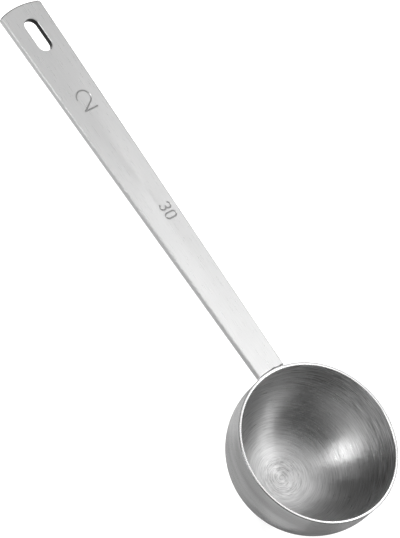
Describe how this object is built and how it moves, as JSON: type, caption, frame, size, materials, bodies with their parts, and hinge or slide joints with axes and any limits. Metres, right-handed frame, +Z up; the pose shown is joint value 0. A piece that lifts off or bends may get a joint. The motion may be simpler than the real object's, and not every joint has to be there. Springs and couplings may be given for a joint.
{
  "type": "measuring spoon",
  "caption": "Long-handled round measuring scoop in welded stainless steel, with a tapered flat handle and a hanging slot.",
  "frame": {"origin": "middle of the bowl's mouth, in the plane of the flat lip", "axes": "+Z up out of the bowl along its axis, handle running out along -X, +Y across the handle"},
  "size_m": [0.1676, 0.046, 0.0276],
  "materials": {
    "bowl_steel": "spun, brushed in rings round the bowl's axis, with a polished lip",
    "handle_steel": "fine satin, brushed along the strip, with polished edges",
    "weld_steel": "dressed weld metal, satin"
  },
  "bodies": {
    "root": {"bowl": "bowl_steel", "handle": "handle_steel", "weld_bead": "weld_steel"}
  },
  "joints": []
}
